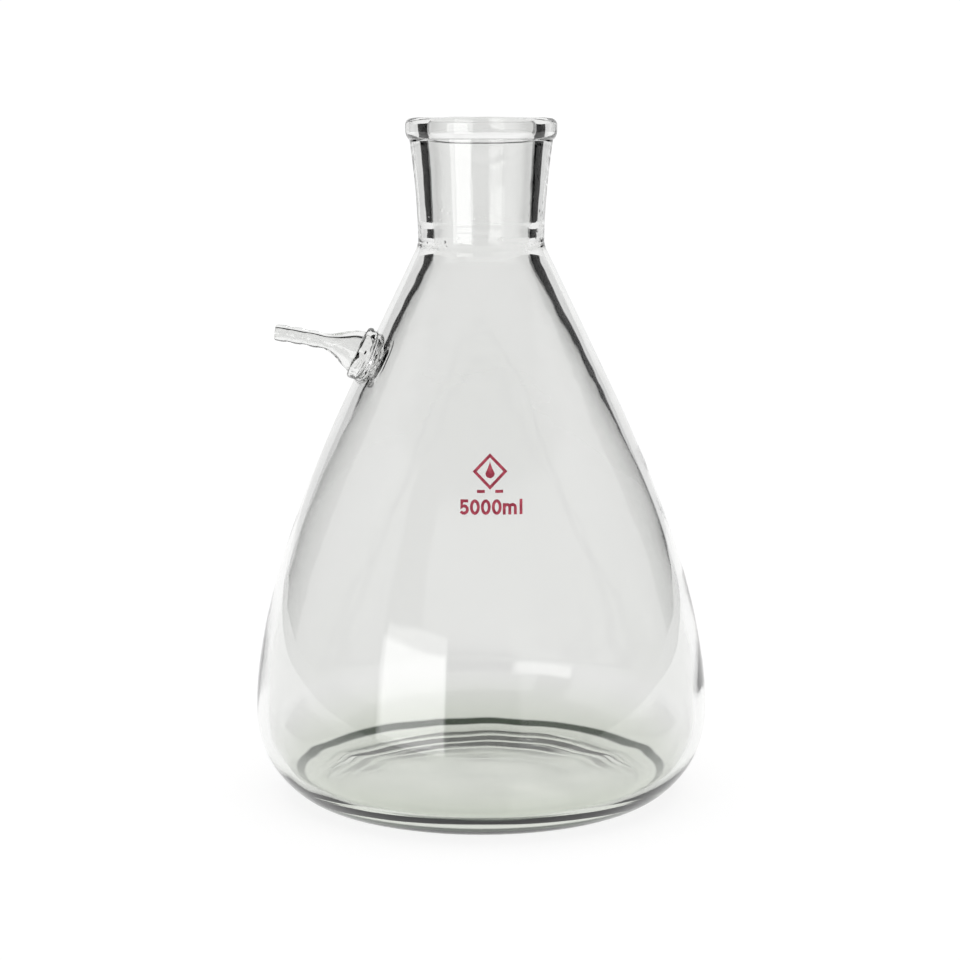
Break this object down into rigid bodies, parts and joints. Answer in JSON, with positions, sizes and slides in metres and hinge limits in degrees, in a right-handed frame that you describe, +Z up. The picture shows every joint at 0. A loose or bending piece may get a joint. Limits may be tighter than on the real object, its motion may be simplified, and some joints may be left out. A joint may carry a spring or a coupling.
{
  "type": "filtering flask",
  "caption": "Pear-shaped glass vacuum filtering flask with a tapered neck, a rolled rim, a thick base and a hose connector on its shoulder.",
  "frame": {"origin": "centre of the flask's base, in the plane it stands on", "axes": "+Z up along the flask's axis through the mouth, the enamel print faces -Y, the hose connector points to -X"},
  "size_m": [0.224, 0.224, 0.332],
  "materials": {
    "glass": "clear, faintly grey-green, polished by the flame",
    "enamel": "red fired enamel, slightly worn"
  },
  "bodies": {
    "root": {"flask_body": "glass", "rim_bead": "glass", "side_arm_weld": "glass", "side_arm": "glass", "mark_lozenge": "enamel", "mark_drop": "enamel", "mark_dash_left": "enamel", "mark_dash_right": "enamel", "capacity_five": "enamel", "capacity_zero_first": "enamel", "capacity_zero_second": "enamel", "capacity_zero_third": "enamel", "capacity_m": "enamel", "capacity_l": "enamel"}
  },
  "joints": []
}
